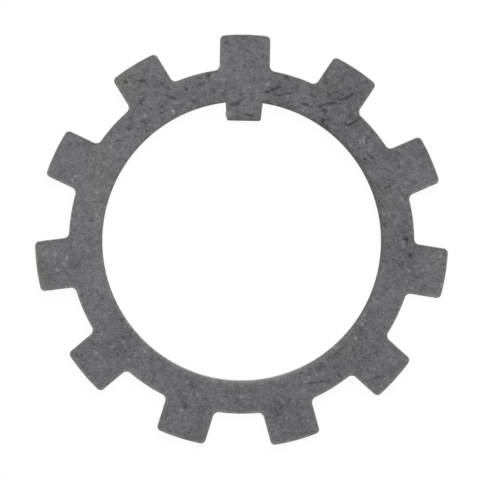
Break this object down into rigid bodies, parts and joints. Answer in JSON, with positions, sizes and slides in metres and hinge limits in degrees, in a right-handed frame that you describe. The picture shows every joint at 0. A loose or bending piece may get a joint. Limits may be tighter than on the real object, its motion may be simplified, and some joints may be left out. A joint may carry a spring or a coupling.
{
  "type": "spindle lock washer",
  "caption": "Flat stamped steel washer with square bend-up tabs round its rim and a key in its bore, to lock a slotted nut on a spindle.",
  "frame": {"origin": "on the bore axis, at the underside of the sheet", "axes": "+Z through the thickness to the upper face, +Y through the key and the tab in line with it"},
  "size_m": [0.0756, 0.075, 0.0016],
  "materials": {
    "steel": "dull grey, as stamped, with handling marks"
  },
  "bodies": {
    "root": {"lock_washer": "steel"}
  },
  "joints": []
}
